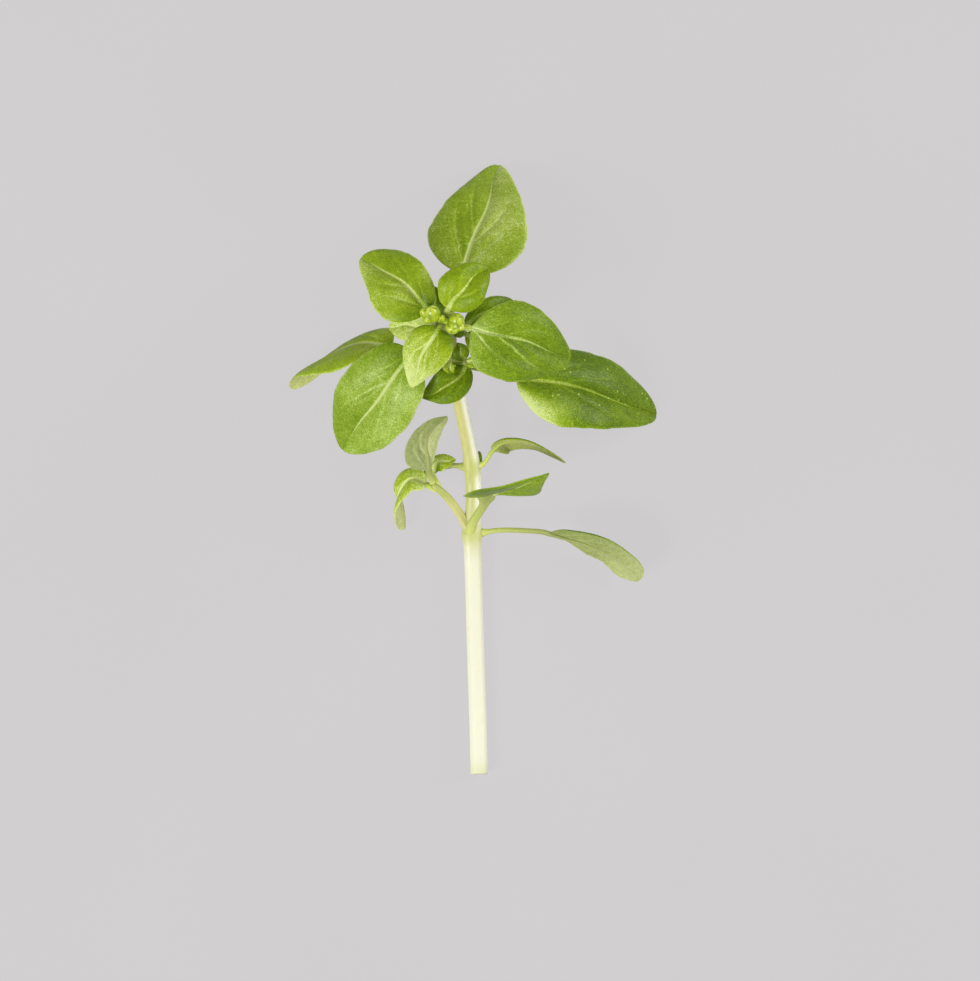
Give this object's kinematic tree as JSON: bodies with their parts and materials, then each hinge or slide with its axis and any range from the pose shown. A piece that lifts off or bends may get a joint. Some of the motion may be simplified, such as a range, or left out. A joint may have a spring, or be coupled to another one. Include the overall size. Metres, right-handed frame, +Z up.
{
  "type": "cut basil sprig",
  "caption": "Cut sprig of small-leaved basil lying on a surface: a square stem, spreading oval leaves on stalks and a tuft of buds at the raised tip.",
  "frame": {"origin": "middle of the box's underside, on the surface that the sprig lies on", "axes": "+Y along the stem from the cut end to the growing tip, +X to the right seen from above, +Z up"},
  "size_m": [0.0682, 0.1126, 0.0326],
  "materials": {
    "stem": "smooth and faintly waxy, cream below and yellow-green above",
    "shoot": "smooth, yellow-green",
    "leaf": "soft sheen, quilted between pale veins, speckled with oil glands",
    "deep_leaf": "soft sheen, deep green with pale oil glands",
    "young_leaf": "soft sheen, light yellow-green",
    "pale_leaf": "matte grey-green underside with raised pale veins",
    "bud": "soft sheen, yellow-green"
  },
  "bodies": {
    "root": {"main_stem": "stem", "side_shoot": "shoot", "top_leaf": "leaf", "upper_left_leaf": "leaf", "upper_right_leaf": "leaf", "young_leaf_above": "young_leaf", "young_leaf_below": "young_leaf", "far_right_leaf": "deep_leaf", "broad_left_leaf": "leaf", "far_left_leaf": "deep_leaf", "mid_right_leaf": "pale_leaf", "mid_left_leaf": "deep_leaf", "low_right_leaf": "pale_leaf", "low_rising_leaf": "leaf", "side_shoot_turned_leaf": "pale_leaf", "side_shoot_hanging_leaf": "young_leaf", "axil_shoot_front": "deep_leaf", "axil_shoot_right": "deep_leaf", "axil_shoot_left": "deep_leaf", "tip_buds": "bud"}
  },
  "joints": []
}
